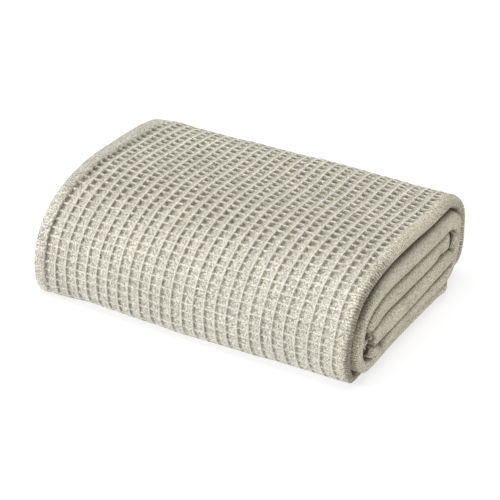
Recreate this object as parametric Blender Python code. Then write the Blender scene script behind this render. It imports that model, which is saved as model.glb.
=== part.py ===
"""Waffle weave cotton blanket, folded in quarters along its length and rolled flat.

Metres, +Z up.  The bundle lies along X on the plane z = 0, with the double fold
of its cloth at the +X end and the hems at the -X end, and its outer turn bulges
towards -Y.  The origin is under the middle of its box.

The blanket is one piece of cloth.  Its quarter fold is a section of four layers
that runs back and forth, and that section is carried along a flattened spiral:
from the free end, which lies under the bundle and curls up behind it, round
three and a half turns to the end in the core.
"""
import math

import bpy
from mathutils import Vector
from mathutils.geometry import intersect_point_line

MM = 0.001

# The strip that the blanket is folded to: a hem, whole cells of the weave, then
# the fold at the right-hand end.
CELL_PITCH = 12.5 * MM
CELL_COLUMNS = 27
HEM_WIDTH = 15.7 * MM
FOLD_START = HEM_WIDTH + CELL_COLUMNS * CELL_PITCH
LAYER_COUNT = 4
CLOTH_SHARE = 0.215            # one layer's share of the strip's thickness

# The left-hand ends of the layers, counted from the outer hem's edge at X = 0.
SECOND_HEM_SETBACK = 3.0 * MM
INNER_FOLD_SETBACK = 1.5 * MM

# The hem's edge, in shares of half the cloth's thickness: how far its corners are
# cut back in X, and where the upright part between them ends.
HEM_CORNER = 0.6
HEM_UPRIGHT = 0.4

# The crease that the hem's stitching pulls into the cloth.
STITCH_GROOVE_DEPTH = 0.6 * MM
STITCH_GROOVE_HALF_WIDTH = 3.0 * MM

# The roll, in millimetres, in the plane across it: Y from the front of the
# bundle to its back, Z up.  Each row is a half turn, outermost first.  "reach"
# is how far the middle of the strip goes in Y, and "belly" the height there.
# "first" and "last" are the heights of the flat runs that the half turn leaves
# and meets, and each "span" is the length in Y over which it does so.  "thick"
# is the strip's thickness at the belly, pressed or lofty, and "edge" how far its
# right-hand fold is past FOLD_START.
BENDS = (
    # side     reach  belly  first  span   last  span  thick   edge
    ("back",  264.0,  36.0,   None,  None,   3.6, 46.0,   7.4,  -4.7),
    ("front",   5.2,  34.0,   3.6,  14.0, 103.4, 88.0,  10.4,   5.3),
    ("back",  258.0,  60.0, 101.2,  48.0,  13.2, 58.0,  11.6,   9.6),
    ("front",  17.6,  38.0,  13.2,  16.0,  80.7, 56.0,  13.4,  10.3),
    ("back",  245.0,  54.0,  81.0,  38.0,  24.7, 36.0,  11.4,   9.8),
    ("front",  29.4,  41.0,  24.7,  14.0,  58.3, 32.0,   8.8,  10.8),
    ("back",  228.0,  48.8,  58.5,  10.0,  39.4, 10.0,  15.6,  12.8),
)

# The flat runs that join the half turns, in the same order, in millimetres.
RUNS = (
    # thick   edge
    (7.2,   4.8),
    (14.6,  8.3),
    (11.0, 12.8),
    (24.2, 10.8),
    (11.0, 14.3),
    (18.6, 11.8),
    (17.6, 14.8),
)
CORE_END_Y = 42.0              # where the roll ends, in the core

# Where one turn would meet another, both are pressed thinner until they are
# this far apart.  Places less than NEXT_TURN apart along the strip never meet.
TURN_CLEARANCE = 0.45
NEXT_TURN = 60.0
PRESS_PASSES = 3

# How far the right-hand fold strays in X, as waves along the whole roll.
EDGE_WANDER = (
    # swell (mm)  waves  phase (turns)
    (0.9,  9.0, 0.10),
    (0.5, 23.0, 0.65),
)

# The outer turn's top is higher at the hems than at the right-hand fold: its
# rise, in millimetres, at each of STATION_SHARES of the way between the two.
TOP_RISE = (2.6, 0.6, 0.0, -1.5)
TOP_REAR_SHARE = 0.6           # how much of it is left at the rear
TOP_RUN = 1
STATION_SHARES = (0.0, 0.3, 0.7, 1.0)

# Steps of the mesh along a run, a quarter bend and a short one, and round a fold.
RUN_STEPS = 3
QUARTER_STEPS = 5
SHORT_QUARTER = 18.0
SHORT_QUARTER_STEPS = 4
FOLD_STEPS = 7
INNER_FOLD_STEPS = 4

COTTON_COLOUR = (0.56, 0.53, 0.45, 1.0)
COTTON_ROUGHNESS = 0.92


def quarter(centre_y, belly, span, rise, leaving):
    """Points of a quarter ellipse between a flat run and the belly of a bend."""
    steps = SHORT_QUARTER_STEPS if abs(span) < SHORT_QUARTER else QUARTER_STEPS
    points = []
    for step in range(steps + 1):
        share = step / steps if leaving else 1.0 - step / steps
        angle = 0.5 * math.pi * share
        points.append((centre_y + span * math.sin(angle), belly + rise * math.cos(angle)))
    return points


def half_turn(bend):
    """Points (y, z, share) of a half turn; share is 0 at its runs, 1 at its belly."""
    side, reach, belly, first, first_span, last, last_span, _, _ = bend
    sign = -1.0 if side == "front" else 1.0
    points = []
    if first is not None:
        span = sign * first_span
        leaving = quarter(reach - span, belly, span, first - belly, True)
        points += [(y, z, step / (len(leaving) - 1)) for step, (y, z) in enumerate(leaving)]
        points.pop()
    span = sign * last_span
    meeting = quarter(reach - span, belly, span, last - belly, False)
    points += [(y, z, 1.0 - step / (len(meeting) - 1)) for step, (y, z) in enumerate(meeting)]
    return points


def roll():
    """Stations (y, z, thickness, edge, rise) along the strip, free end first."""
    stations = []

    def run_to(end_y, end_z, run):
        start_y, start_z = stations[-1][:2]
        for step in range(1, RUN_STEPS):
            share = step / RUN_STEPS
            ease = share * share * (3.0 - 2.0 * share)
            rise = 1.0 + (TOP_REAR_SHARE - 1.0) * share if run is RUNS[TOP_RUN] else 0.0
            stations.append((start_y + (end_y - start_y) * share,
                             start_z + (end_z - start_z) * ease, run[0], run[1], rise))

    for number, bend in enumerate(BENDS):
        points = half_turn(bend)
        side = bend[0]
        thick, edge = bend[7:]
        belly_at = max(range(len(points)), key=lambda place: points[place][2])
        if number:
            run_to(points[0][0], points[0][1], RUNS[number - 1])
        for place, (y, z, share) in enumerate(points):
            run = RUNS[number - 1] if place < belly_at else RUNS[number]
            blend = math.sin(0.5 * math.pi * share) ** 2
            rise = 0.0
            if run is RUNS[TOP_RUN]:
                rise = (1.0 - share) ** 2 if side == "front" else TOP_REAR_SHARE * (1.0 - share)
            stations.append((y, z, run[0] + (thick - run[0]) * blend,
                             run[1] + (edge - run[1]) * blend, rise))
    run_to(CORE_END_Y, stations[-1][1], RUNS[-1])
    stations.append((CORE_END_Y, stations[-1][1], RUNS[-1][0], RUNS[-1][1], 0.0))
    return stations


def pressed(stations):
    """The stations, with the strip pressed thinner where one turn meets another."""
    places = [Vector(station[:2]) for station in stations]
    walked = [0.0]
    for start, end in zip(places, places[1:]):
        walked.append(walked[-1] + (end - start).length)
    thick = [station[2] for station in stations]
    for _ in range(PRESS_PASSES):
        squeeze = [1.0] * len(stations)
        for here, place in enumerate(places):
            for there in range(len(places) - 1):
                if any(abs(walked[end] - walked[here]) < NEXT_TURN for end in (there, there + 1)):
                    continue
                nearest, share = intersect_point_line(place, places[there], places[there + 1])
                share = min(max(share, 0.0), 1.0)
                nearest = places[there].lerp(places[there + 1], share)
                room = (place - nearest).length - TURN_CLEARANCE
                other = thick[there] * (1.0 - share) + thick[there + 1] * share
                least = 2.0 * room / (thick[here] + other)
                for pressed_place in (here, there, there + 1):
                    squeeze[pressed_place] = min(squeeze[pressed_place], least)
        thick = [value * factor for value, factor in zip(thick, squeeze)]
    return [station[:2] + (value,) + station[3:] for station, value in zip(stations, thick)]


def wander(share):
    """How far the right-hand fold strays in X at a share of the roll, in millimetres."""
    return sum(swell * math.sin(2.0 * math.pi * (waves * share + phase))
               for swell, waves, phase in EDGE_WANDER)


def arc(centre, radius, start, stop, steps):
    """Points of an arc in the section, in degrees, without its two ends."""
    points = []
    for step in range(1, steps):
        angle = math.radians(start + (stop - start) * step / steps)
        points.append((centre[0] + radius * math.cos(angle),
                       centre[1] + radius * math.sin(angle)))
    return points


def section(thickness, edge):
    """Outline of the four layers: X along the roll, and height off the middle.

    The cloth runs from the outer hem to the double fold, back under the other
    layers to the inner fold, out again and home to the second hem.
    """
    cloth = CLOTH_SHARE * thickness
    gap = (thickness - LAYER_COUNT * cloth) / (LAYER_COUNT - 1)
    half = 0.5 * thickness
    lift = 0.5 * cloth
    first, second, third, fourth = (half - lift - (cloth + gap) * layer
                                    for layer in range(LAYER_COUNT))
    turn = edge - half
    fold_outer = cloth + 0.5 * gap
    inner_fold = (INNER_FOLD_SETBACK + fold_outer, 0.5 * (third + fourth))
    double_fold = (turn, 0.0)
    stretch = turn - HEM_WIDTH

    def face(height, outwards, grooved=False):
        points = [(HEM_WIDTH + stretch * share, height) for share in STATION_SHARES]
        if grooved:
            points[:1] = [(HEM_WIDTH - STITCH_GROOVE_HALF_WIDTH, height),
                          (HEM_WIDTH, height - STITCH_GROOVE_DEPTH),
                          (HEM_WIDTH + STITCH_GROOVE_HALF_WIDTH, height)]
        return points if outwards else points[::-1]

    def hem(x, height):
        corner = x + HEM_CORNER * lift
        upright = HEM_UPRIGHT * lift
        return [(corner, height - lift), (x, height - upright),
                (x, height + upright), (corner, height + lift)]

    outline = hem(0.0, first)
    outline += face(first + lift, True, grooved=True)
    outline += arc(double_fold, half, 90.0, -90.0, FOLD_STEPS)
    outline += face(fourth - lift, False)
    outline += [(inner_fold[0], fourth - lift)]
    outline += arc(inner_fold, fold_outer, 270.0, 90.0, INNER_FOLD_STEPS)
    outline += [(inner_fold[0], third + lift)]
    outline += face(third + lift, True)
    outline += arc(double_fold, 0.5 * gap, -90.0, 90.0, 2)
    outline += face(second - lift, False)
    outline += hem(SECOND_HEM_SETBACK, second)
    outline += face(second + lift, True)
    outline += arc(double_fold, fold_outer, 90.0, -90.0, INNER_FOLD_STEPS)
    outline += face(third - lift, False)
    outline += [(inner_fold[0], third - lift)]
    outline += arc(inner_fold, 0.5 * gap, 90.0, 270.0, 2)
    outline += [(inner_fold[0], fourth + lift)]
    outline += face(fourth + lift, True)
    outline += arc(double_fold, half - cloth, -90.0, 90.0, INNER_FOLD_STEPS + 1)
    outline += face(first - lift, False)
    return outline


def top_rise(x, edge):
    """Rise of the outer turn's top at X, between the values at the four stations."""
    share = min(max((x - HEM_WIDTH) / (edge - HEM_WIDTH), 0.0), 1.0)
    last = len(STATION_SHARES) - 1
    place = max(index for index in range(last) if share >= STATION_SHARES[index])
    low, high = STATION_SHARES[place:place + 2]
    part = (share - low) / (high - low)
    return TOP_RISE[place] * (1.0 - part) + TOP_RISE[place + 1] * part


def rolled_mesh(name):
    """The closed mesh of the section carried along the roll."""
    stations = pressed(roll())
    last = len(stations) - 1
    rings = []
    for place, (y, z, thickness, edge, rise) in enumerate(stations):
        before = stations[max(place - 1, 0)]
        after = stations[min(place + 1, last)]
        along = Vector((after[0] - before[0], after[1] - before[1])).normalized()
        outward = Vector((-along[1], along[0]))
        right = FOLD_START + (edge + wander(place / last)) * MM
        ring = []
        for x, height in section(thickness * MM, right):
            offset = height + rise * top_rise(x, right) * MM
            ring.append((x, y * MM + outward[0] * offset, z * MM + outward[1] * offset))
        rings.append(ring)
    sides = len(rings[0])
    faces = []
    for place in range(last):
        low, high = place * sides, (place + 1) * sides
        for side in range(sides):
            following = (side + 1) % sides
            faces.append((low + side, low + following, high + following, high + side))
    faces.append(tuple(range(sides))[::-1])
    faces.append(tuple(range(last * sides, (last + 1) * sides)))
    mesh = bpy.data.meshes.new(name)
    mesh.from_pydata([point for ring in rings for point in ring], [], faces)
    return mesh


def centre_over_origin(mesh):
    """Moves the mesh so that the origin is under the middle of its box."""
    for axis in (0, 1):
        values = [vertex.co[axis] for vertex in mesh.vertices]
        middle = 0.5 * (min(values) + max(values))
        for vertex in mesh.vertices:
            vertex.co[axis] -= middle


def cotton():
    """Undyed, heathered cotton: pale and quite matt."""
    material = bpy.data.materials.new("undyed_cotton")
    material.use_nodes = True
    shader = material.node_tree.nodes["Principled BSDF"]
    shader.inputs["Base Color"].default_value = COTTON_COLOUR
    shader.inputs["Roughness"].default_value = COTTON_ROUGHNESS
    shader.inputs["Metallic"].default_value = 0.0
    return material


def main():
    for thing in list(bpy.data.objects):
        bpy.data.objects.remove(thing)
    mesh = rolled_mesh("blanket")
    centre_over_origin(mesh)
    mesh.materials.append(cotton())
    mesh.shade_smooth()
    mesh.set_sharp_from_angle(angle=math.radians(50.0))
    blanket = bpy.data.objects.new("blanket", mesh)
    bpy.context.collection.objects.link(blanket)


main()
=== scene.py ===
"""Waffle weave cotton blanket, folded in quarters along its length and rolled flat.

The bundle lies along X, with the double fold of its cloth at the +X end, the hems
at the -X end and its rounded front towards -Y.  The cloth is one closed sleeve
whose section, four layers running back and forth, is carried along a flattened
spiral.  The waffle cells of the outer turn are modelled and the threads between
them are drawn by the cotton's material.
"""
import math

import bmesh
import bpy
import numpy as np
from bpy.props import FloatProperty, FloatVectorProperty, PointerProperty
from mathutils import Matrix, Vector


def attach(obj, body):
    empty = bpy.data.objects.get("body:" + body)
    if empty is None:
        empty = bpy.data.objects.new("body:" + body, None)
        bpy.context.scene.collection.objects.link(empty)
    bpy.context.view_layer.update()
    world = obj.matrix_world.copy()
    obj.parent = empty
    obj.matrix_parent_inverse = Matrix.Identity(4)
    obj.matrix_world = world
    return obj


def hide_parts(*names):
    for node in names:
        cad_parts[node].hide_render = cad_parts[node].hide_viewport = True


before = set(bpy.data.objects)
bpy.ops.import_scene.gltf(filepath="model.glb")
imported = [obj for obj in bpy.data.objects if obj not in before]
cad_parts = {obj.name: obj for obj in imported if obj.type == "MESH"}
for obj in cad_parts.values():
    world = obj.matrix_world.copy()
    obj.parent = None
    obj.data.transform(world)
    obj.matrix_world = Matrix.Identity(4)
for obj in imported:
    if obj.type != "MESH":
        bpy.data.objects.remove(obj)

bl_info = {
    "name": "Waffle weave cotton blanket",
    "version": (1, 0, 0),
    "blender": (4, 5, 0),
    "location": "View3D > Sidebar > Blanket",
    "description": "Builds a folded and rolled waffle weave cotton blanket and its studio",
    "category": "Object",
}

MM = 0.001

# The bundle's middle, in millimetres from the outer hem's line and from the line
# that the reaches of the bends are measured from.
MIDDLE_X = 184.374
MIDDLE_Y = 134.144

# The strip: a hem band, then whole cells of the weave, then the double fold.
HEM_WIDTH = 15.7
CELL_COLUMNS = 27
CELL_WIDTH = 12.5
FOLD_START = HEM_WIDTH + CELL_COLUMNS * CELL_WIDTH
SECOND_HEM_SETBACK = 3.0
INNER_FOLD_SETBACK = 1.5

# The roll in the plane across it, in millimetres.  Each row is a half turn,
# outermost first: how far the middle of the strip goes in Y, the height there, the
# heights of the runs it leaves and meets with the lengths over which it does so,
# the strip's thickness at the belly, and how far its fold is past FOLD_START.
BENDS = (
    # side     reach  belly  first  span   last  span  thick   edge
    ("back",  264.0,  36.0,   None,  None,   3.6, 46.0,   7.4,  -4.7),
    ("front",   5.2,  34.0,   3.6,  14.0, 103.4, 88.0,  10.4,   5.3),
    ("back",  258.0,  60.0, 101.2,  48.0,  13.2, 58.0,  11.6,   9.6),
    ("front",  17.6,  38.0,  13.2,  16.0,  80.7, 56.0,  13.4,  10.3),
    ("back",  245.0,  54.0,  81.0,  38.0,  24.7, 36.0,  11.4,   9.8),
    ("front",  29.4,  41.0,  24.7,  14.0,  58.3, 32.0,   8.8,  10.8),
    ("back",  228.0,  48.8,  58.5,  10.0,  39.4, 10.0,  15.6,  12.8),
)
RUNS = (
    # thick   edge
    (7.2,   4.8),
    (14.6,  8.3),
    (11.0, 12.8),
    (24.2, 10.8),
    (11.0, 14.3),
    (18.6, 11.8),
    (17.6, 14.8),
)
CORE_END_Y = 42.0             # where the roll ends, in the core
TURN_CLEARANCE = 0.45         # left between one turn and the next
NEXT_TURN = 60.0              # how far along the strip another turn's cloth is, at least
PRESS_PASSES = 3
RUN_STEPS = 3
QUARTER_STEPS = 5
SHORT_QUARTER = 18.0          # quarters with a span below this have fewer steps
SHORT_QUARTER_STEPS = 4
PATH_STEP = 0.5

# The section of the strip: its layers, as shares of its thickness, and its samples.
LAYER_SHARE = 0.215           # the outer layer
MOST_LAYER_SHARE = 0.45       # the outer layer at most, where it has its least thickness
GAP_SHARE = 0.045             # each gap between layers
EDGE_ROUND = 1.7              # the free end's layers are rounded over this much
END_ROUNDING = 0.9            # how nearly their rounding closes them
HEM_STEPS = 6
SECOND_HEM_STEPS = 4
HEM_BAND = (0.0, 0.55, 0.82, 0.94)  # the hem band's samples, from its edge to the crease
FOLD_STEPS = 12
FOLD_SQUARENESS = (1.8, 4.2)  # of the outer turn, and of the turns inside it
FOLD_TIP = 0.8                # of the outer layer is left at the tip of the double fold
INNER_FOLD_STEPS = 4
LAST_CELLS = 5.0              # cells over which the spacing is fitted to the fold
SAME_PLACE = 0.0001 * MM      # corners of the mesh closer than this are one

# How far the double fold strays in X, as waves along the whole roll.
EDGE_WANDER = (
    # swell  waves  phase (turns)
    (0.9,  9.0, 0.10),
    (0.5, 23.0, 0.65),
)

# Dents and bulges of the double fold: the uneven back corner and the pockets between its turns.
# A turned of 0 is the fold's outer side, 1 its inner one.
FOLD_DENTS = (
    # dark is how much shade is painted in the dent.
    # arc     length  turned  reach  out   dark
    (697.0,   12.0,   0.50,   9.00,  -5.0,  0.0),
    (724.0,    9.0,   0.50,   9.00,   3.0,  0.0),
    (1222.0,   5.0,   0.80,   0.25,  -1.5,  0.7),
    (1431.0,   6.0,   0.70,   0.25,  -2.5,  0.9),
    (1464.0,   6.5,   0.50,   0.60,  -3.5,  1.8),
    (1484.0,   6.0,   0.50,   0.34,  -3.0,  1.4),
    (1654.0,   5.0,   0.80,   0.20,  -3.0,  1.1),
    (1684.0,   5.0,   0.50,   0.40,  -5.0,  1.7),
)

# The outer turn's top is higher at the hems than at the double fold.
TOP_RUN = 1
TOP_REAR_SHARE = 0.6
TOP_RISE = (
    # share of the way  rise
    (0.0,  2.6),
    (0.3,  0.6),
    (0.7,  0.0),
    (1.0, -1.5),
)

# Where the weave's ridges lie, along the outer face from the free end: the place
# of the hem's crease, and the distance from ridge to ridge.
RIDGES = (
    # arc   crease  spacing
    (0.0,   15.4, 12.20),
    (200.0, 14.8, 12.20),
    (285.0, 13.7, 12.60),
    (300.0, 14.3, 12.54),
    (315.0, 13.9, 12.52),
    (330.0, 14.5, 12.50),
    (345.0, 14.2, 12.54),
    (360.0, 14.9, 12.52),
    (405.0, 16.1, 12.52),
    (435.0, 16.2, 12.56),
    (450.0, 15.1, 12.60),
    (465.0, 14.3, 12.60),
    (480.0, 13.9, 12.62),
    (495.0, 14.3, 12.62),
    (510.0, 14.8, 12.60),
    (525.0, 15.3, 12.58),
    (540.0, 16.9, 12.50),
    (555.0, 19.4, 12.40),
    (570.0, 21.0, 12.30),
    (620.0, 18.0, 12.50),
    (680.0, 15.7, 12.60),
)

# The waving outer edge of the hem band along the same arc.
HEM_EDGE = (
    # arc    edge
    (0.0,    0.6),
    (180.0,  0.4),
    (262.0,  2.6),
    (277.0,  3.4),
    (287.0,  1.8),
    (300.0,  0.4),
    (320.0,  0.9),
    (360.0,  0.8),
    (385.0,  1.6),
    (410.0,  3.0),
    (435.0,  3.4),
    (455.0,  2.4),
    (470.0,  0.6),
    (485.0, -0.2),
    (520.0, -0.6),
    (560.0,  0.4),
    (620.0,  1.0),
    (700.0,  0.5),
)

# Where the weave's cross bars lie along the arc; the first cell starts at the
# crease of the free end's hem.
BARS = (
    # arc    bar
    (14.0,    0.0),
    (290.8,  30.0),
    (335.2,  35.0),
    (381.0,  40.0),
    (476.5,  50.0),
    (485.8,  51.0),
    (540.0,  57.2),
    (571.2,  61.0),
    (735.0,  79.0),
    (1835.0, 200.0),
)
BAR_SLANT = 2.0               # how much later a bar comes at the fold than at the hems
SLANT_START = 40.0            # the slant grows from nothing over this much of the free end

# Samples of one cell, as shares of its width and of its height.
CELL_ACROSS = (0.0, 0.07, 0.17, 0.45, 0.74, 0.93)
CELL_ALONG = (0.0, 0.09, 0.24, 0.76, 0.91)
CELL_ALONG_UNDER = (0.0, 0.50)
UNDERSIDE = (40.0, 250.0)     # arcs between which the cloth lies on its underside
OUTER_TURN = 735.0            # where the outer turn goes in under the bundle
OUTER_FADE = 30.0             # arc over which the outer turn's weave and looks fade there
TURN_BLEND = 40.0             # arc to each side over which the fold's shape changes there
KEPT_TURN = 6.0               # arc past it from which the cells' samples aren't needed
INNER_STEPS = (
    # up to slope  step
    (0.02, 12.0),
    (0.20, 6.0),
    (9.00, 3.4),
)
HALF_STRIP = 20.0             # makes a slope of the turning per millimetre
DENT_REACH = 3.0              # the finest step is used within this many lengths of a dent
FREE_END_STEPS = (0.0, 0.25, 0.8, 1.7, 5.0, 9.0, 12.4, 13.2)
FREE_HEM = 14.0
FREE_SEAM = (0.9, 1.2)        # half width and depth of the crease of the free end's hem

# The sewing.
STITCH_SHARE = 0.72           # of the distance between stitches that thread covers
PLY = 0.4 * MM                # width of one ply of the thread

# A cell across its width: it drops steeply from one ridge, then banks up to the next.
# Each pair is for the open cells of the top and for the pressed cells of the front.
STEEP_SIDE = (0.17, 0.15)     # where the steep side reaches the bottom
BANK_START = (0.30, 0.12)
BANK_END = (0.72, 0.36)
BANK_HEIGHT = (0.60, 0.78)    # as a share of the ridges' height
BAR_HEIGHT = (0.90, 0.80)     # of the cross bars, likewise
BAR_REACH = 0.24              # how far a cross bar reaches along the cell
BAR_SHAPE = (0.35, 1.60)      # small for a broad bar, large for a thin one
PRESSED_RELIEF = 0.62         # how much of their depth the pressed cells keep
PRESSED_PAINTED_SHADE = (0.98, 0.72)   # and of their painted shade, at the hems and at the fold
REAR_RELIEF = 0.55            # how much of their depth the cells keep over the back
REAR = (535.0, 575.0)
CREST = 0.09                  # width of the ridge's own side on the bank
PRESSED = (335.0, 446.0)      # arcs between which the pressed cells give way to open ones
RIDGE_SHAPE = 1.5             # over 1 for ridges with hollow flanks
SUNK_BAR = 0.5                # an open cell's bar loses this share of its height
SUNK_BAR_AT = (0.5, 0.8)      # over this part of the cell's width
WEAVE_START = (-0.4, 2.0)     # arcs from the free hem over which the cells begin
WEAVE_END = (-0.7, 0.2)       # cells from the last one over which they end

# The hem's crease: its depth at the hem band's last samples, as shares, and how much
# of it is lost over the top.
CREASE_PROFILE = (0.15, 0.45, 1.0)
CREASE_LOSS = 0.7
CREASE_LOST = (400.0, 450.0)
MOST_CREASE = 0.3             # of the strip's thickness

# Shade painted down in the creases: how much of the crease's colour, and the arcs where
# it starts, is full, begins to fade and is gone.
CREASE_SHADE = 0.96
CREASE_SHADED = (290.0, 330.0, 560.0, 600.0)
CREASE_SHADE_LOSS = 0.7
CREASE_SHADE_LOST = (390.0, 430.0)
CREASE_SPREAD = 0.25          # of it next to the crease, on the hem band
HEM_SHADE = 0.23              # over the hem band
HEM_SHADED = (370.0, 410.0, 600.0, 660.0)
FIRST_CELL_SHADE = 0.43       # over the first cell's side next to the crease
FIRST_CELL_SAMPLES = 3
FIRST_CELL_SHADED = (395.0, 430.0, 540.0, 570.0)
OUTER_FOLD_SHADE = (0.04, 0.31)     # on the outer turn's fold: all round, and at the front
OUTER_FOLD_SHADED = (262.0, 290.0, 360.0, 440.0)
OUTER_FOLD_SPREAD = (0.04, 0.16)    # shares of the way round the fold where it comes in
UNDER_TURN_SHADE = (0.2125, 0.527)  # inside the roll: all round, and under the top
UNDER_TURN_SHADED = (940.0, 980.0, 1200.0, 1240.0)
UNDER_TURN_SPREAD = (0.108, 0.468)  # shares of the way round the fold where it goes out

# Painted light: the outer turn's fold over the top is painted as pale as the folds inside the roll.
PALE_FOLD = 0.95
PALE_FOLD_FROM = (395.0, 450.0)
PALE_FOLD_LOSS = 0.7
PALE_FOLD_TO = (520.0, 555.0)

# Unevenness of the outer turn, as low waves over its face, from nothing underneath.
SWELLS = (
    # height  across  along  phase (turns)
    (0.22,    74.0,  118.0, 0.55),
    (0.14,    43.0,   61.0, 0.85),
)
SWELL_START = (150.0, 280.0)

# Soft humps and hollows of the outer turn.
HUMPS = (
    # arc    x      along  across  height
    (287.0, 350.0,  18.0,   80.0,  -1.2),
    (280.0, 170.0,  16.0,   90.0,   3.0),
    (278.0,  10.0,  16.0,   36.0,   3.5),
    (562.0, 180.0,  26.0,  120.0,   2.3),
    (560.0, 234.0,  24.0,   26.0,   1.9),
    (567.0,  -4.0,  25.0,   18.0,  -2.2),
    (566.0,  29.0,  24.0,   13.0,   2.2),
)

# The weave as the cotton's material draws it: painted highlights on the ridges and cross bars, and
# painted shade in the cells.
RIDGE_LINE = (0.025, 0.07)    # distance from a ridge, in cells, where its painted highlight fades and ends
BAR_LINE = (0.03, 0.12)       # and from a cross bar
BAR_LINE_SHARE = 0.6          # strength of a bar's painted highlight
BAR_LINE_LOSS = 0.55          # what it loses on the banks of the top
TOP_HEIGHTS = (80.0 * MM, 100.0 * MM)
BANK_SHARES = (0.45, 0.70)    # part of the cell's width over which its bank begins
CELL_PAINTED_SHADE = (0.10, 0.95)      # depths between which the cells' painted shade comes in
GRAIN = (0.34, 1.52)          # brightness of the darkest and of the palest fleck
QUIET_LINE = 0.65             # how much of the grain is lost on the pale lines
QUIET_INNER = 0.20            # and on the folds inside the roll
RIBS_IN_CELL = 3.0            # ribs of warp in the length of one cell
# Ribs' tone: painted shade in their grooves and painted light on them.
RIB_TONE = 0.26
RIB_HEIGHT = 1.1              # against the flecks' height
RIB_LOSS_ON_HEM = 0.75
RIB_LOSS_INSIDE = 0.45
CLOUD_WIDTH = 35.714 * MM     # of the soft clouds of tone
CLOUD_RANGE = (0.3, 0.7)      # values of the noise where they are darkest and palest
CLOUD_TONE = (0.95, 1.04)     # their brightness there

# The soft boxes: name, direction, distance and width in metres.
LAMPS = (
    ("key", (-0.74, -0.60, 0.29), 8.0, 2.2),
    ("top", (0.0, 0.0, 1.0), 2.4, 1.6),
)
FLOOR_GLOW = 0.70             # emission that keeps the floor as pale as the photo's paper


def colour(code):
    """Linear colour of an sRGB hex code."""
    shares = [int(code[place:place + 2], 16) / 255.0 for place in (1, 3, 5)]
    linear = [share / 12.92 if share <= 0.04045 else ((share + 0.055) / 1.055) ** 2.4
              for share in shares]
    return (*linear, 1.0)


class BlanketSizes(bpy.types.PropertyGroup):
    """Sizes of the cloth and of its sewing."""
    relief: FloatProperty(
        name="Relief", description="Depth of a waffle cell below its ridges",
        default=3.6 * MM, min=0.0, unit="LENGTH", subtype="DISTANCE")
    relief_share: FloatProperty(
        name="Relief share", description="Most of the strip's thickness that a cell goes down",
        default=0.29, min=0.0, max=0.4, subtype="FACTOR")
    top_layer: FloatProperty(
        name="Top layer", description="Least thickness of the outer layer of cloth",
        default=4.3 * MM, min=0.0, unit="LENGTH", subtype="DISTANCE")
    crease: FloatProperty(
        name="Crease", description="Depth of the crease that the hem's stitching pulls",
        default=2.0 * MM, min=0.0, unit="LENGTH", subtype="DISTANCE")
    stitch_length: FloatProperty(
        name="Stitch length", description="Distance from stitch to stitch along a hem",
        default=3.2 * MM, min=1.0 * MM, unit="LENGTH", subtype="DISTANCE")
    thread: FloatProperty(
        name="Thread", description="Thickness of the sewing thread",
        default=0.5 * MM, min=0.1 * MM, unit="LENGTH", subtype="DISTANCE")
    cloth_width: FloatProperty(
        name="Cloth width", description="Width of the blanket laid out flat",
        default=1.43, unit="LENGTH", subtype="DISTANCE")
    cloth_length: FloatProperty(
        name="Cloth length", description="Length of the blanket laid out flat",
        default=1.79, unit="LENGTH", subtype="DISTANCE")


class BlanketColours(bpy.types.PropertyGroup):
    """Colours of the cotton and of its thread, and its grain."""
    # Painted highlight: the pale lines on the ridges and cross bars.
    ridge: FloatVectorProperty(
        name="Ridges", description="Cotton on the ridges of the weave",
        default=colour("#F0EDE3"), size=4, min=0.0, max=1.0, subtype="COLOR")
    cloth: FloatVectorProperty(
        name="Cloth", description="Cotton between the ridges",
        default=colour("#D6D2C4"), size=4, min=0.0, max=1.0, subtype="COLOR")
    # Painted shade at the bottom of the cells.
    painted_cell_shade: FloatVectorProperty(
        name="Cells", description="Cotton at the bottom of the cells, deep in shade",
        default=colour("#868069"), size=4, min=0.0, max=1.0, subtype="COLOR")
    fold: FloatVectorProperty(
        name="Folds", description="Smooth cotton round the outer turn's fold",
        default=colour("#CBC4B1"), size=4, min=0.0, max=1.0, subtype="COLOR")
    # Painted light: the folds inside the roll, and the outer turn's fold over the top, are paler
    # than the outer fold.
    painted_light_fold: FloatVectorProperty(
        name="Inner folds", description="Smooth cotton round the folds inside the roll",
        default=colour("#DED5BE"), size=4, min=0.0, max=1.0, subtype="COLOR")
    hem: FloatVectorProperty(
        name="Hems", description="Smooth cotton of the hem bands",
        default=colour("#D9D4C5"), size=4, min=0.0, max=1.0, subtype="COLOR")
    # Painted shade: the colour mixed in wherever shade is painted, in creases, pockets and gaps of
    # the roll.
    crease: FloatVectorProperty(
        name="Creases", description="Cotton down in the creases",
        default=colour("#3F3826"), size=4, min=0.0, max=1.0, subtype="COLOR")
    thread: FloatVectorProperty(
        name="Threads", description="Sewing thread on its plies",
        default=colour("#BDB49D"), size=4, min=0.0, max=1.0, subtype="COLOR")
    thread_shade: FloatVectorProperty(
        name="Thread shade", description="Sewing thread between its plies",
        default=colour("#8F856C"), size=4, min=0.0, max=1.0, subtype="COLOR")
    fleck_size: FloatProperty(
        name="Fleck size", description="Size of the yarn's flecks",
        default=0.85 * MM, min=0.1 * MM, unit="LENGTH", subtype="DISTANCE")


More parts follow.
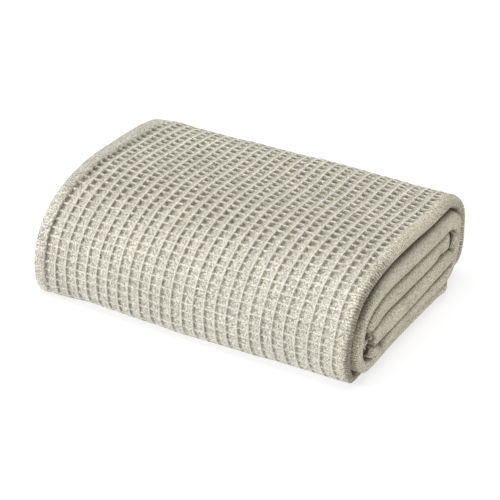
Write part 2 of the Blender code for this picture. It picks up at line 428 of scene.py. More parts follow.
class StudioSizes(bpy.types.PropertyGroup):
    """The camera, the lamps and the table top."""
    camera_place: FloatVectorProperty(
        name="Camera", description="Place of the camera",
        default=(0.7323, -1.2751, 0.8805), size=3, unit="LENGTH", subtype="TRANSLATION")
    azimuth: FloatProperty(
        name="Azimuth", description="Turn of the camera round the bundle",
        default=math.radians(30.1), unit="ROTATION", subtype="ANGLE")
    elevation: FloatProperty(
        name="Elevation", description="Angle at which the camera looks down",
        default=math.radians(29.8), unit="ROTATION", subtype="ANGLE")
    lens: FloatProperty(
        name="Lens", description="Focal length in millimetres for a 36 mm sensor",
        default=118.58, min=1.0, unit="CAMERA")
    floor_size: FloatProperty(
        name="Floor", description="Width of the floor",
        default=12.0, min=1.0, unit="LENGTH", subtype="DISTANCE")
    floor_colour: FloatVectorProperty(
        name="Floor colour", description="Colour of the floor",
        default=colour("#9E9E9E"), size=4, min=0.0, max=1.0, subtype="COLOR")
    key_power: FloatProperty(
        name="Key light", description="Power of the soft box on the left, in watts",
        default=340.0, min=0.0, unit="POWER")
    top_power: FloatProperty(
        name="Top light", description="Power of the soft box overhead, in watts",
        default=36.0, min=0.0, unit="POWER")
    world_strength: FloatProperty(
        name="Room light", description="Strength of the even light from all sides",
        default=0.50, min=0.0)


def column(table, place):
    """One column of a table as an array."""
    return np.array([row[place] for row in table], float)


def along_table(table, place, arcs):
    """Smooth values of a table's column at the arcs, held beyond its ends."""
    knots = column(table, 0)
    return through(knots, column(table, place), np.clip(arcs, knots[0], knots[-1]))


def through(knots, values, at):
    """Cubic curve through the values at the knots, with slopes from their neighbours."""
    slopes = np.gradient(values, knots)
    place = np.clip(np.searchsorted(knots, at, side="right") - 1, 0, len(knots) - 2)
    width = knots[place + 1] - knots[place]
    share = (at - knots[place]) / width
    square = share * share
    cube = square * share
    return ((2.0 * cube - 3.0 * square + 1.0) * values[place]
            + (cube - 2.0 * square + share) * width * slopes[place]
            + (3.0 * square - 2.0 * cube) * values[place + 1]
            + (cube - square) * width * slopes[place + 1])


def ramp(values, start, end):
    """0 before start, 1 after end and a smooth rise between them."""
    share = np.clip((values - start) / (end - start), 0.0, 1.0)
    return share * share * (3.0 - 2.0 * share)


def between(values, start, full, fading, end):
    """0 up to start, 1 from full to fading and 0 again past end."""
    return ramp(values, start, full) * (1.0 - ramp(values, fading, end))


def quarter(centre_y, belly, span, rise, leaving):
    """Points of a quarter ellipse between a flat run and the belly of a bend."""
    steps = SHORT_QUARTER_STEPS if abs(span) < SHORT_QUARTER else QUARTER_STEPS
    points = []
    for step in range(steps + 1):
        share = step / steps if leaving else 1.0 - step / steps
        angle = 0.5 * math.pi * share
        points.append((centre_y + span * math.sin(angle), belly + rise * math.cos(angle)))
    return points


def half_turn(bend):
    """Points (y, z, share) of a half turn; share is 0 at its runs, 1 at its belly."""
    side, reach, belly, first, first_span, last, last_span, _, _ = bend
    sign = -1.0 if side == "front" else 1.0
    points = []
    if first is not None:
        span = sign * first_span
        leaving = quarter(reach - span, belly, span, first - belly, True)
        points += [(y, z, step / (len(leaving) - 1)) for step, (y, z) in enumerate(leaving)]
        points.pop()
    span = sign * last_span
    meeting = quarter(reach - span, belly, span, last - belly, False)
    points += [(y, z, 1.0 - step / (len(meeting) - 1)) for step, (y, z) in enumerate(meeting)]
    return points


def roll():
    """Stations (y, z, thickness, edge, rise) along the strip, free end first."""
    stations = []

    def run_to(end_y, end_z, run):
        start_y, start_z = stations[-1][:2]
        for step in range(1, RUN_STEPS):
            share = step / RUN_STEPS
            ease = share * share * (3.0 - 2.0 * share)
            rise = 1.0 + (TOP_REAR_SHARE - 1.0) * share if run is RUNS[TOP_RUN] else 0.0
            stations.append((start_y + (end_y - start_y) * share,
                             start_z + (end_z - start_z) * ease, run[0], run[1], rise))

    for number, bend in enumerate(BENDS):
        points = half_turn(bend)
        side = bend[0]
        thick, edge = bend[7:]
        belly_at = max(range(len(points)), key=lambda place: points[place][2])
        if number:
            run_to(points[0][0], points[0][1], RUNS[number - 1])
        for place, (y, z, share) in enumerate(points):
            run = RUNS[number - 1] if place < belly_at else RUNS[number]
            blend = math.sin(0.5 * math.pi * share) ** 2
            rise = 0.0
            if run is RUNS[TOP_RUN]:
                rise = (1.0 - share) ** 2 if side == "front" else TOP_REAR_SHARE * (1.0 - share)
            stations.append((y, z, run[0] + (thick - run[0]) * blend,
                             run[1] + (edge - run[1]) * blend, rise))
    run_to(CORE_END_Y, stations[-1][1], RUNS[-1])
    stations.append((CORE_END_Y, stations[-1][1], RUNS[-1][0], RUNS[-1][1], 0.0))
    return np.array(stations)


def pressed(stations):
    """The stations, with the strip pressed thinner where one turn meets another."""
    places = stations[:, :2]
    steps = np.diff(places, axis=0)
    lengths = np.linalg.norm(steps, axis=1)
    walked = np.concatenate(([0.0], np.cumsum(lengths)))
    thick = stations[:, 2].copy()
    for _ in range(PRESS_PASSES):
        squeeze = np.ones(len(stations))
        for here, place in enumerate(places):
            far = ((np.abs(walked[:-1] - walked[here]) >= NEXT_TURN)
                   & (np.abs(walked[1:] - walked[here]) >= NEXT_TURN))
            share = np.clip(np.sum((place - places[:-1]) * steps, axis=1) / lengths ** 2, 0.0, 1.0)
            nearest = places[:-1] + steps * share[:, None]
            room = np.linalg.norm(place - nearest, axis=1) - TURN_CLEARANCE
            other = thick[:-1] * (1.0 - share) + thick[1:] * share
            least = np.where(far, 2.0 * room / (thick[here] + other), 1.0)
            squeeze[here] = min(squeeze[here], least.min())
            np.minimum.at(squeeze, np.arange(len(least)), least)
            np.minimum.at(squeeze, np.arange(len(least)) + 1, least)
        thick = thick * squeeze
    return np.column_stack((places, thick, stations[:, 3:]))


def strip_path():
    """The strip's middle, thickness, fold and rise at close steps of its outer face."""
    stations = pressed(roll())
    places = stations[:, :2]
    along = np.vstack((places[1:], places[-1:])) - np.vstack((places[:1], places[:-1]))
    along /= np.linalg.norm(along, axis=1, keepdims=True)
    outer = places + 0.5 * stations[:, 2:3] * np.column_stack((-along[:, 1], along[:, 0]))
    knots = np.concatenate(([0.0], np.cumsum(np.linalg.norm(np.diff(outer, axis=0), axis=1))))
    turns = 2.0 * math.pi * np.linspace(0.0, 1.0, len(stations))
    for swell, waves, phase in EDGE_WANDER:
        stations[:, 3] += swell * np.sin(waves * turns + 2.0 * math.pi * phase)
    path = {"arc": np.append(np.arange(0.0, knots[-1], PATH_STEP), knots[-1])}
    for name, values in zip(("y", "z", "thick", "edge", "rise"), stations.T):
        path[name] = through(knots, values, path["arc"])
    slope_y = np.gradient(path["y"], path["arc"])
    slope_z = np.gradient(path["z"], path["arc"])
    length = np.hypot(slope_y, slope_z)
    path["out_y"] = -slope_z / length
    path["out_z"] = slope_y / length
    return path


def station_arcs(path):
    """Arcs of the section's stations: close ones in the cells, wider ones inside the roll."""
    bars = column(BARS, 1)
    places = column(BARS, 0)
    arcs = list(FREE_END_STEPS)
    bar = 0
    while True:
        start = float(np.interp(bar, bars, places))
        if start > OUTER_TURN:
            break
        shares = CELL_ALONG_UNDER if UNDERSIDE[0] < start < UNDERSIDE[1] else CELL_ALONG
        arcs += [float(np.interp(bar + share, bars, places)) for share in shares]
        bar += 1
    turning = np.abs(np.gradient(np.unwrap(np.arctan2(path["out_z"], path["out_y"])),
                                 path["arc"]))
    end = path["arc"][-1]
    while arcs[-1] < end - INNER_STEPS[-1][1]:
        slope = HALF_STRIP * float(np.interp(arcs[-1], path["arc"], turning))
        step = next(step for most, step in INNER_STEPS if slope <= most)
        if any(abs(arcs[-1] - dent[0]) < DENT_REACH * dent[1] for dent in FOLD_DENTS):
            step = INNER_STEPS[-1][1]
        arcs.append(arcs[-1] + step)
    arcs[-1] = end
    return np.array(arcs)


def ellipse(centre_x, centre_height, width, height, start, stop, steps, squareness=2.0):
    """Points of an arc of an ellipse in the section, in degrees, without its ends.

    A squareness over 2 flattens the arc's sides and tightens its corners.
    """
    points = []
    for step in range(1, steps):
        angle = math.radians(start + (stop - start) * step / steps)
        across, up = (math.copysign(1.0, part) * abs(part) ** (2.0 / squareness)
                      for part in (math.cos(angle), math.sin(angle)))
        points.append((centre_x + width * across, centre_height + height * up))
    return points


def layers(sizes, arcs, thick):
    """Heights of the tops and bottoms of the four layers, off the strip's middle, and the
    thickness of the outer layer, of the others and of the gaps.
    """
    outer = np.minimum(np.maximum(LAYER_SHARE * thick, sizes.top_layer / MM),
                       MOST_LAYER_SHARE * thick)
    gap = GAP_SHARE * thick
    other = (thick - outer - 3.0 * gap) / 3.0
    short = 1.0 - np.clip(arcs / EDGE_ROUND, 0.0, 1.0)
    closing = 0.5 * (1.0 - np.sqrt(1.0 - END_ROUNDING * short ** 2))
    tops, bottoms = [], []
    height = 0.5 * thick
    for cloth in (outer, other, other, other):
        tops.append(height - closing * cloth)
        bottoms.append(height - cloth + closing * cloth)
        height = height - cloth - gap
    return tops, bottoms, outer, other, gap


def dents(arcs):
    """Over the double fold, sample by sample: how far it goes out and how much shade is painted on
    it.
    """
    turned = np.linspace(0.0, 1.0, FOLD_STEPS + 1)[:-1, None]
    push = pocket = 0.0
    for arc, length, middle, reach, out, dark in FOLD_DENTS:
        near = np.exp(-((arcs - arc) / length) ** 2 - ((turned - middle) / reach) ** 2)
        push = push + out * near
        pocket = np.maximum(pocket, dark * near)
    return turned, push, pocket


def section(sizes, arcs, path):
    """Outline of the four layers at every arc.

    Gives X, the height off the strip's middle, the place in the weave and the painted
    shade, each with a row for a point of the outline and a column for an arc, the
    number of points before the outer face's first cell, and the number in its cells.
    """
    thick = np.interp(arcs, path["arc"], path["thick"])
    half = 0.5 * thick
    turn = FOLD_START + np.interp(arcs, path["arc"], path["edge"]) - half
    crease = along_table(RIDGES, 1, arcs)
    spacing = along_table(RIDGES, 2, arcs)
    hem_edge = along_table(HEM_EDGE, 1, arcs)
    tops, bottoms, outer, other, gap = layers(sizes, arcs, thick)
    inner = ramp(arcs, OUTER_TURN - TURN_BLEND, OUTER_TURN + TURN_BLEND)
    squareness = FOLD_SQUARENESS[0] + (FOLD_SQUARENESS[1] - FOLD_SQUARENESS[0]) * inner
    points = []

    def face(height, outwards):
        line = [(HEM_WIDTH + (turn - HEM_WIDTH) * share, height)
                for share in column(TOP_RISE, 0)]
        points.extend(line if outwards else line[::-1])

    def left_edge(x, top, bottom, start, stop, steps):
        high = 0.5 * (top - bottom)
        points.extend(ellipse(x + high, 0.5 * (top + bottom), high, high, start, stop, steps))

    def right_edge(top, bottom, start, stop, steps, width=None, squareness=2.0):
        high = 0.5 * (top - bottom)
        points.extend(ellipse(turn, 0.5 * (top + bottom), high if width is None else width,
                              high, start, stop, steps, squareness))

    left_edge(hem_edge, tops[0], bottoms[0], 270.0, 90.0, HEM_STEPS)
    round_end = hem_edge + 0.5 * outer
    for share in HEM_BAND:
        points.append((round_end + (crease - round_end) * share, tops[0]))
    cells_start = len(points)
    columns = [number + part for number in range(CELL_COLUMNS) for part in CELL_ACROSS]
    columns.append(float(CELL_COLUMNS))
    miss = turn - crease - spacing * CELL_COLUMNS
    for place in columns:
        shift = miss * ramp(np.array(place), CELL_COLUMNS - LAST_CELLS, CELL_COLUMNS)
        points.append((crease + spacing * place + shift, tops[0]))
    right_edge(tops[0], bottoms[3], 90.0, -90.0, FOLD_STEPS, half, squareness)
    face(bottoms[3], False)
    left_edge(INNER_FOLD_SETBACK, tops[2], bottoms[3], 270.0, 90.0, INNER_FOLD_STEPS)
    face(tops[2], True)
    right_edge(bottoms[1], tops[2], -90.0, 90.0, 2)
    face(bottoms[1], False)
    left_edge(SECOND_HEM_SETBACK, tops[1], bottoms[1], 270.0, 90.0, SECOND_HEM_STEPS)
    face(tops[1], True)
    right_edge(tops[1], bottoms[2], 90.0, -90.0, INNER_FOLD_STEPS)
    face(bottoms[2], False)
    left_edge(INNER_FOLD_SETBACK + 0.5 * other + gap, bottoms[2], tops[3], 90.0, 270.0, 2)
    face(tops[3], True)
    right_edge(bottoms[0], tops[3], -90.0, 90.0, INNER_FOLD_STEPS + 1, half - FOLD_TIP * outer)
    face(bottoms[0], False)

    x = np.array([point[0] for point in points])
    height = np.array([point[1] for point in points])
    place = (x - crease) / spacing
    place[cells_start:cells_start + len(columns)] = np.array(columns)[:, None]
    turned, push, pocket = dents(arcs)
    fold_start = cells_start + len(columns) - 1
    fold = slice(fold_start, fold_start + FOLD_STEPS)
    x[fold] += push
    # Painted shade round the folds, in the pockets between turns, in the hem's crease, over the hem
    # band and over the first cell.
    shade = np.zeros_like(x)
    everywhere, under_top = UNDER_TURN_SHADE
    under = inner * (everywhere + under_top * between(arcs, *UNDER_TURN_SHADED))
    everywhere, in_front = OUTER_FOLD_SHADE
    outside = (1.0 - inner) * (everywhere + in_front * between(arcs, *OUTER_FOLD_SHADED))
    shade[fold] = np.maximum(
        np.maximum(under * np.interp(turned, UNDER_TURN_SPREAD, (1.0, 0.0)), pocket),
        outside * ramp(turned, *OUTER_FOLD_SPREAD))
    shade[cells_start] = (CREASE_SHADE * between(arcs, *CREASE_SHADED)
                          * (1.0 - CREASE_SHADE_LOSS * ramp(arcs, *CREASE_SHADE_LOST)))
    shade[cells_start - 1] = CREASE_SPREAD * shade[cells_start]
    shade[1:cells_start - 1] = HEM_SHADE * between(arcs, *HEM_SHADED)
    shade[cells_start + 1:cells_start + 1 + FIRST_CELL_SAMPLES] = (
        FIRST_CELL_SHADE * between(arcs, *FIRST_CELL_SHADED))
    return x, height, place, shade, cells_start, len(columns)


def cell_depth(across, along, pressed):
    """How far the weave lies below its ridges: 0 on a ridge, 1 in a cell."""
    steep_side, bank_start, bank_end, bank_height, bar_height, bar_shape = (
        first + (last - first) * pressed for first, last in (
            STEEP_SIDE, BANK_START, BANK_END, BANK_HEIGHT, BAR_HEIGHT, BAR_SHAPE))
    share = across % 1.0
    steep = np.where(across < 0.5, 0.0,
                     np.clip(1.0 - share / steep_side, 0.0, 1.0) ** RIDGE_SHAPE)
    slope = bank_height * ramp(share, bank_start, bank_end)
    crest = slope + (1.0 - slope) * np.clip(1.0 - (1.0 - share) / CREST, 0.0, 1.0) ** RIDGE_SHAPE
    off_bar = 0.5 - np.abs(0.5 - along % 1.0)
    bar_height = bar_height * (1.0 - SUNK_BAR * (1.0 - pressed) * ramp(share, *SUNK_BAR_AT))
    bar = bar_height * np.clip(1.0 - off_bar / BAR_REACH, 0.0, 1.0) ** bar_shape
    return 1.0 - np.maximum(np.maximum(steep, crest), bar)


def on_outer_turn(arcs):
    """1 on the outer turn, fading to 0 where it goes in under the bundle."""
    return 1.0 - ramp(arcs, OUTER_TURN - OUTER_FADE, OUTER_TURN)


def woven(arcs, place):
    """Where the waffle cells are modelled: 1 in them, fading to 0 at hems and folds."""
    begin, end = WEAVE_START
    last, past = WEAVE_END
    return (ramp(arcs, FREE_HEM + begin, FREE_HEM + end) * on_outer_turn(arcs)
            * (1.0 - ramp(place, CELL_COLUMNS + last, CELL_COLUMNS + past)))


def rolled_cloth(sizes):
    """The cloth's points with their weave and looks, and the lines its hems are sewn along."""
    path = strip_path()

    def of_path(name, at):
        return np.interp(at, path["arc"], path[name])

    arcs = station_arcs(path)
    x, height, place, shade, cells_start, cells = section(sizes, arcs, path)
    face = slice(cells_start, cells_start + cells)
    slant = BAR_SLANT * (x / FOLD_START - 0.5) * ramp(arcs, 0.0, SLANT_START)
    at = np.clip(arcs + slant, 0.0, path["arc"][-1])
    bar = np.broadcast_to(np.interp(arcs, column(BARS, 0), column(BARS, 1)), x.shape)
    thick = of_path("thick", arcs)
    outer = on_outer_turn(arcs)
    pressed = 1.0 - ramp(arcs, *PRESSED)

    # The cells, shallower where they are pressed and over the back.
    weave_share = woven(arcs, place)
    down = np.zeros_like(x)
    down[face] = (weave_share * cell_depth(place, bar, pressed))[face]
    depth = (np.minimum(sizes.relief / MM, sizes.relief_share * thick)
             * (1.0 + (PRESSED_RELIEF - 1.0) * pressed)
             * (1.0 + (REAR_RELIEF - 1.0) * ramp(arcs, *REAR)))
    height = height - depth * down
    # Painted shade of the cells: the pressed front keeps less of it towards the fold.
    tone = np.interp(x, (0.0, FOLD_START), PRESSED_PAINTED_SHADE)
    down = down * (1.0 + (tone - 1.0) * pressed)

    # The creases of the two hems, and the outer turn's unevenness.
    deep = (outer * np.minimum(sizes.crease / MM, MOST_CREASE * thick)
            * (1.0 - CREASE_LOSS * ramp(arcs, *CREASE_LOST)))
    height[cells_start + 1 - len(CREASE_PROFILE):cells_start + 1] -= (
        np.array(CREASE_PROFILE)[:, None] * deep)
    seam_width, seam_depth = FREE_SEAM
    height[face] -= seam_depth * np.exp(-((arcs - FREE_HEM) / seam_width) ** 2)
    swell = sum(rise * np.sin(2.0 * math.pi * (x / wide + at / long + phase))
                for rise, wide, long, phase in SWELLS)
    height = height + swell * outer * ramp(arcs, *SWELL_START)
    for arc, middle, long, wide, rise in HUMPS:
        height = height + rise * np.exp(-((at - arc) / long) ** 2 - ((x - middle) / wide) ** 2)
    right = FOLD_START + of_path("edge", at)
    share = np.clip((x - HEM_WIDTH) / (right - HEM_WIDTH), 0.0, 1.0)
    height = height + of_path("rise", at) * np.interp(share, column(TOP_RISE, 0),
                                                      column(TOP_RISE, 1))

    y = of_path("y", at) + height * of_path("out_y", at)
    z = of_path("z", at) + height * of_path("out_z", at)
    places = MM * np.stack((x - MIDDLE_X, y - MIDDLE_Y, np.maximum(z, 0.0)), axis=-1)
    plain = np.ones_like(x)
    plain[face] = 1.0 - weave_share[face]
    inner = np.broadcast_to(1.0 - outer, x.shape).copy()
    # Painted light: the outer turn's fold over the top takes the paler colour of the folds inside
    # the roll.
    inner[face.stop:] = np.maximum(
        inner[face.stop:], PALE_FOLD * ramp(arcs, *PALE_FOLD_FROM)
        * (1.0 - PALE_FOLD_LOSS * ramp(arcs, *PALE_FOLD_TO)))
    spare = np.zeros(x.shape, bool)
    spare[face, arcs > OUTER_TURN + KEPT_TURN] = True
    spare[face.start:face.stop:len(CELL_ACROSS)] = False
    cloth = (places, np.stack((place, bar, down), axis=-1),
             np.stack((plain, shade, inner), axis=-1), spare)

    outward = np.stack((0.0 * arcs, of_path("out_y", arcs), of_path("out_z", arcs)), axis=-1)
    sewn = (arcs > FREE_HEM) & (arcs < OUTER_TURN)
    end = int(np.argmin(np.abs(arcs - FREE_HEM)))
    seams = ((places[cells_start, sewn], outward[sewn]),
             (places[face, end], np.tile(outward[end], (cells, 1))))
    return cloth, seams


def sleeve(name, places, weave, looks, spare):
    """A closed sleeve through the places: a grid sewn up along its seam and at its ends.

    The lines along it are left out where they are spare.
    """
    around, along = places.shape[:2]
    cloth = bmesh.new()
    weave_layer = cloth.verts.layers.float_vector.new("weave")
    looks_layer = cloth.verts.layers.float_vector.new("looks")
    bmesh.ops.create_grid(cloth, x_segments=around, y_segments=along - 1, size=1.0)
    seam = []
    spare_sides = {}
    for vertex in cloth.verts:
        side = round(0.5 * (vertex.co.x + 1.0) * around)
        station = round(0.5 * (vertex.co.y + 1.0) * (along - 1))
        if side in (0, around):
            seam.append(vertex)
        side %= around
        vertex.co = places[side, station]
        vertex[weave_layer] = weave[side, station]
        vertex[looks_layer] = looks[side, station]
        if spare[side, station]:
            spare_sides[vertex] = side
    bmesh.ops.remove_doubles(cloth, verts=seam, dist=SAME_PLACE)
    lines = [edge for edge in cloth.edges
             if spare_sides.get(edge.verts[0], -1) == spare_sides.get(edge.verts[1], -2)]
    bmesh.ops.dissolve_edges(cloth, edges=lines, use_verts=True)
    ends = [edge for edge in cloth.edges if edge.is_boundary]
    caps = bmesh.ops.holes_fill(cloth, edges=ends, sides=0)["faces"]
    bmesh.ops.triangulate(cloth, faces=caps)
    bmesh.ops.recalc_face_normals(cloth, faces=cloth.faces)
    return finished(name, cloth)


def stitches(name, seams, length, thread):
    """A row of short stitches along each seam, half sunk in the cloth."""
    sewing = bmesh.new()
    for line, outward in seams:
        walked = np.concatenate(([0.0], np.cumsum(np.linalg.norm(np.diff(line, axis=0), axis=1))))
        for start in np.arange(0.5 * length, walked[-1] - length, length):
            ends = [Vector([np.interp(at, walked, values) for values in line.T])
                    for at in (start, start + STITCH_SHARE * length)]
            up = Vector([np.interp(start, walked, values) for values in outward.T])
            along = (ends[1] - ends[0]).normalized()
            side = up.cross(along).normalized()
            turn = Matrix((along, side, along.cross(side))).transposed().to_4x4()
            reach = (ends[1] - ends[0]).length
            bmesh.ops.create_icosphere(
                sewing, subdivisions=2, radius=0.5,
                matrix=(Matrix.Translation(0.5 * (ends[0] + ends[1]) + 0.25 * thread * up)
                        @ turn @ Matrix.Diagonal((reach, thread, thread, 1.0))))
    return finished(name, sewing)


def finished(name, shape):
    """A smooth object of a bmesh, at the origin."""
    mesh = bpy.data.meshes.new(name)
    shape.to_mesh(mesh)
    shape.free()
    mesh.shade_smooth()
    made = bpy.data.objects.new(name, mesh)
    bpy.context.scene.collection.objects.link(made)
    return made


def surface(name, values):
    """A new material, and its shader with the values set on its inputs."""
    material = bpy.data.materials.new(name)
    material.use_nodes = True
    shader = material.node_tree.nodes["Principled BSDF"]
    for socket, value in values.items():
        shader.inputs[socket].default_value = value
    return material, shader


def add(tree, kind, inputs=(), output=0, **settings):
    """Adds a node with its settings, joins or sets its inputs and gives one output.

    Inputs are named or numbered.  A mix's are 0 for the share, 2 and 3 for numbers and
    6 and 7 for colours, and its output 2 is a colour.
    """
    made = tree.nodes.new(kind)
    for name, value in settings.items():
        setattr(made, name, value)
    for name, value in (inputs if isinstance(inputs, dict) else dict(enumerate(inputs))).items():
        if isinstance(value, bpy.types.NodeSocket):
            tree.links.new(value, made.inputs[name])
        else:
            made.inputs[name].default_value = value
    return made.outputs[output]


def thin_line(tree, position, start, end):
    """1 on every whole number of the position, fading from start to end away from it."""
    off_line = add(tree, "ShaderNodeMath", (position, 0.5), operation="PINGPONG")
    return add(tree, "ShaderNodeMapRange", (off_line, start, end, 1.0, 0.0))


def waffle_cotton(colours):
    """Undyed cotton, heathered in the yarn and woven in waffle cells: matt, with a soft nap."""
    material, shader = surface("waffle_cotton", {
        "Roughness": 0.9, "Specular IOR Level": 0.2, "Sheen Weight": 0.18,
        "Sheen Roughness": 0.5})
    tree = material.node_tree
    place = add(tree, "ShaderNodeTexCoord", output="Object")
    up = add(tree, "ShaderNodeSeparateXYZ", (place,), "Z")
    weave = add(tree, "ShaderNodeAttribute", output="Vector", attribute_name="weave")
    across, along, depth = add(tree, "ShaderNodeSeparateXYZ", (weave,)).node.outputs
    looks = add(tree, "ShaderNodeAttribute", output="Vector", attribute_name="looks")
    plain, shade, inner = add(tree, "ShaderNodeSeparateXYZ", (looks,)).node.outputs

    # Painted light and shade on the cells: thin pale ridges and bars as painted highlights round a
    # bottom darkened as painted shade.  The pressed front shows its cross bars over the whole cell,
    # the top in the dark bottoms of its cells only.
    woven_share = add(tree, "ShaderNodeMath", (1.0, plain), operation="SUBTRACT")
    high = add(tree, "ShaderNodeMapRange", (up, *TOP_HEIGHTS))
    cell_share = add(tree, "ShaderNodeMath", (across,), operation="FRACT")
    on_bank = add(tree, "ShaderNodeMapRange", (cell_share, *BANK_SHARES))
    high_bank = add(tree, "ShaderNodeMath", (high, on_bank), operation="MULTIPLY")
    bar_share = add(tree, "ShaderNodeMath", (high_bank, -BAR_LINE_LOSS, BAR_LINE_SHARE),
                    operation="MULTIPLY_ADD")
    bar_highlight = add(tree, "ShaderNodeMath", (thin_line(tree, along, *BAR_LINE), bar_share),
                   operation="MULTIPLY")
    line = add(tree, "ShaderNodeMath", (thin_line(tree, across, *RIDGE_LINE), bar_highlight),
               operation="MAXIMUM")
    line = add(tree, "ShaderNodeMath", (line, woven_share), operation="MULTIPLY")
    # Painted shade at the bottom of the cells, from their depth.
    bottom = add(tree, "ShaderNodeMapRange", (depth, *CELL_PAINTED_SHADE))
    on_hem = add(tree, "ShaderNodeMath", (across, 0.0), operation="LESS_THAN")

    # Painted light: the folds inside the roll and the outer turn's fold over the top are paler.
    folded = add(tree, "ShaderNodeMix", {0: inner, 6: colours.fold, 7: colours.painted_light_fold}, 2,
                 data_type="RGBA")
    # Layers of colour: painted shade in the cells, the folds with their painted light, the hems,
    # painted highlights on ridges and bars, then painted shade in creases and pockets.
    cloth = colours.cloth
    for share, tone in ((bottom, colours.painted_cell_shade), (plain, folded), (on_hem, colours.hem),
                        (line, colours.ridge), (shade, colours.crease)):
        cloth = add(tree, "ShaderNodeMix", {0: share, 6: cloth, 7: tone}, 2, data_type="RGBA")

    # Heathered yarn: flecks of darker and paler fibre, coarser than real so they show,
    # and ribs of warp where the weave turns a fold, darker in their grooves as painted shade and
    # paler on them as painted light.
    flecks = add(tree, "ShaderNodeTexVoronoi",
                 {"Vector": place, "Scale": 1.0 / colours.fleck_size, "Randomness": 1.0},
                 "Color")
    fleck = add(tree, "ShaderNodeSeparateXYZ", (flecks,), "X")
    grain = add(tree, "ShaderNodeMapRange", {0: fleck, 3: GRAIN[0], 4: GRAIN[1]})
    quiet_line = add(tree, "ShaderNodeMath", (line, QUIET_LINE), operation="MULTIPLY")
    quiet_inner = add(tree, "ShaderNodeMath", (inner, QUIET_INNER), operation="MULTIPLY")
    quiet = add(tree, "ShaderNodeMath", (quiet_line, quiet_inner), operation="MAXIMUM")
    grain = add(tree, "ShaderNodeMix", {0: quiet, 2: grain, 3: 1.0})
    turns = add(tree, "ShaderNodeMath", (along, 2.0 * math.pi * RIBS_IN_CELL),
                operation="MULTIPLY")
    rib = add(tree, "ShaderNodeMath", (turns,), operation="SINE")
    off_hem = add(tree, "ShaderNodeMath", (on_hem, -RIB_LOSS_ON_HEM, plain),
                  operation="MULTIPLY_ADD")
    outside = add(tree, "ShaderNodeMath", (inner, -RIB_LOSS_INSIDE, 1.0),
                  operation="MULTIPLY_ADD")
    ribbed = add(tree, "ShaderNodeMath", (off_hem, outside), operation="MULTIPLY")
    rib = add(tree, "ShaderNodeMath", (rib, ribbed), operation="MULTIPLY")
    rib_tone = add(tree, "ShaderNodeMath", (rib, RIB_TONE), operation="MULTIPLY")
    grain = add(tree, "ShaderNodeMath", (rib_tone, grain, grain), operation="MULTIPLY_ADD")
    cloud = add(tree, "ShaderNodeTexNoise",
                {"Vector": place, "Scale": 1.0 / CLOUD_WIDTH, "Detail": 2.0}, "Fac")
    cloud = add(tree, "ShaderNodeMapRange", (cloud, *CLOUD_RANGE, *CLOUD_TONE))
    for tone in (grain, cloud):
        cloth = add(tree, "ShaderNodeVectorMath", {0: cloth, "Scale": tone}, operation="SCALE")
    tree.links.new(cloth, shader.inputs["Base Color"])

    # Threads: fine fuzz everywhere and the same ribs.
    bead = add(tree, "ShaderNodeMath", (1.0, flecks.node.outputs["Distance"]),
               operation="SUBTRACT")
    height = add(tree, "ShaderNodeMath", (rib, RIB_HEIGHT, bead), operation="MULTIPLY_ADD")
    bump = add(tree, "ShaderNodeBump", {"Strength": 0.8, "Distance": 0.8 * MM, "Height": height})
    tree.links.new(bump, shader.inputs["Normal"])
    return material


def cotton_thread(colours):
    """Cotton sewing thread a shade darker than the cloth, its plies showing as fine stripes."""
    material, shader = surface("cotton_thread", {
        "Roughness": 0.75, "Specular IOR Level": 0.3, "Sheen Weight": 0.15})
    tree = material.node_tree
    place = add(tree, "ShaderNodeTexCoord", output="Object")
    plies = add(tree, "ShaderNodeTexWave", {"Vector": place, "Scale": 0.5 / PLY, "Distortion": 1.5},
                "Fac", bands_direction="DIAGONAL")
    dyed = add(tree, "ShaderNodeMix", {0: plies, 6: colours.thread_shade, 7: colours.thread}, 2,
               data_type="RGBA")
    tree.links.new(dyed, shader.inputs["Base Color"])
    bump = add(tree, "ShaderNodeBump", {"Strength": 0.5, "Distance": 0.2 * MM, "Height": plies})
    tree.links.new(bump, shader.inputs["Normal"])
    return material


def white_paper(shade):
    """Background paper: matt, and glowing a little so that only a faint shadow shows."""
    return surface("white_paper", {
        "Base Color": shade, "Roughness": 0.9, "Specular IOR Level": 0.0,
        "Emission Color": (1.0, 1.0, 1.0, 1.0), "Emission Strength": FLOOR_GLOW})[0]


class BLANKET_OT_cloth(bpy.types.Operator):
    """Weaves, folds and rolls the blanket's cloth"""
    bl_idname = "blanket.cloth"
    bl_label = "Rolled cloth"

    def execute(self, context):
        sizes = context.scene.blanket_sizes
        cloth = sleeve("waffle_blanket", *rolled_cloth(sizes)[0])
        cloth.data.materials.append(waffle_cotton(context.scene.blanket_colours))
        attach(cloth, "root")
        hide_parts("blanket")
        return {"FINISHED"}


class BLANKET_OT_stitching(bpy.types.Operator):
    """Sews the hems of the side and of the free end"""
    bl_idname = "blanket.stitching"
    bl_label = "Hem stitching"

    def execute(self, context):
        sizes = context.scene.blanket_sizes
        seams = rolled_cloth(sizes)[1]
        sewing = stitches("hem_stitching", seams, sizes.stitch_length, sizes.thread)
        sewing.data.materials.append(cotton_thread(context.scene.blanket_colours))
        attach(sewing, "root")
        return {"FINISHED"}


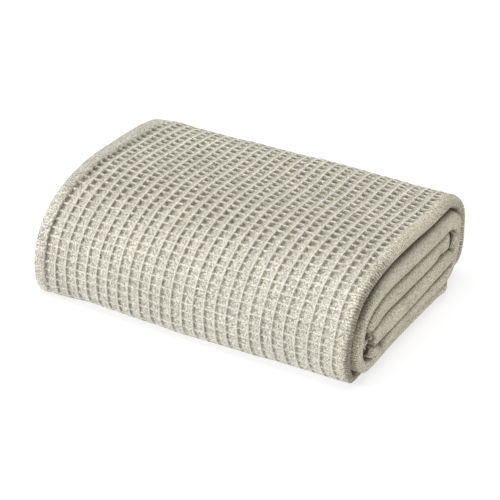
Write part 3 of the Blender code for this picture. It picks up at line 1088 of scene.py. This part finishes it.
class BLANKET_OT_studio(bpy.types.Operator):
    """Sets up the floor, the soft light and the camera"""
    bl_idname = "blanket.studio"
    bl_label = "Studio"

    def execute(self, context):
        studio = context.scene.blanket_studio
        floor_shape = bmesh.new()
        bmesh.ops.create_grid(floor_shape, x_segments=1, y_segments=1,
                              size=0.5 * studio.floor_size)
        floor = finished("studio_floor", floor_shape)
        floor.data.materials.append(white_paper(studio.floor_colour))

        world = bpy.data.worlds.new("studio")
        world.use_nodes = True
        background = world.node_tree.nodes["Background"]
        background.inputs["Color"].default_value = (1.0, 1.0, 1.0, 1.0)
        background.inputs["Strength"].default_value = studio.world_strength
        context.scene.world = world

        for name, towards, far, width in LAMPS:
            lamp = bpy.data.lights.new(name + "_box", "AREA")
            lamp.shape = "SQUARE"
            lamp.size = width
            lamp.energy = getattr(studio, name + "_power")
            box = bpy.data.objects.new(name + "_box", lamp)
            aim = Vector(towards).normalized()
            box.matrix_world = (Matrix.Translation(aim * far)
                                @ aim.to_track_quat("Z", "Y").to_matrix().to_4x4())
            context.scene.collection.objects.link(box)

        lens = bpy.data.cameras.new("camera")
        lens.lens = studio.lens
        lens.clip_start = 0.05
        camera = bpy.data.objects.new("camera", lens)
        look = Vector((-math.sin(studio.azimuth) * math.cos(studio.elevation),
                       math.cos(studio.azimuth) * math.cos(studio.elevation),
                       -math.sin(studio.elevation)))
        camera.matrix_world = (Matrix.Translation(studio.camera_place)
                               @ look.to_track_quat("-Z", "Y").to_matrix().to_4x4())
        context.scene.collection.objects.link(camera)
        context.scene.camera = camera
        context.scene.view_settings.view_transform = "Standard"
        return {"FINISHED"}


class BLANKET_PT_panel(bpy.types.Panel):
    """Lists the steps that build the blanket"""
    bl_idname = "BLANKET_PT_panel"
    bl_label = "Waffle blanket"
    bl_space_type = "VIEW_3D"
    bl_region_type = "UI"
    bl_category = "Blanket"

    def draw(self, context):
        for step in STEPS:
            self.layout.operator(step.bl_idname)
        for group in GROUPS:
            values = getattr(context.scene, group)
            for name in values.bl_rna.properties.keys():
                if name not in ("rna_type", "name"):
                    self.layout.prop(values, name)


STEPS = (BLANKET_OT_cloth, BLANKET_OT_stitching, BLANKET_OT_studio)
GROUPS = {
    "blanket_sizes": BlanketSizes,
    "blanket_colours": BlanketColours,
    "blanket_studio": StudioSizes,
}


def register():
    for group in GROUPS.values():
        bpy.utils.register_class(group)
    for name, group in GROUPS.items():
        setattr(bpy.types.Scene, name, PointerProperty(type=group))
    for kind in (*STEPS, BLANKET_PT_panel):
        bpy.utils.register_class(kind)


def unregister():
    for kind in (BLANKET_PT_panel, *reversed(STEPS)):
        bpy.utils.unregister_class(kind)
    for name in GROUPS:
        delattr(bpy.types.Scene, name)
    for group in reversed(list(GROUPS.values())):
        bpy.utils.unregister_class(group)


def main():
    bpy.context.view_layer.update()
    register()
    bpy.ops.blanket.cloth()
    bpy.ops.blanket.stitching()
    bpy.ops.blanket.studio()


if __name__ == "__main__":
    main()
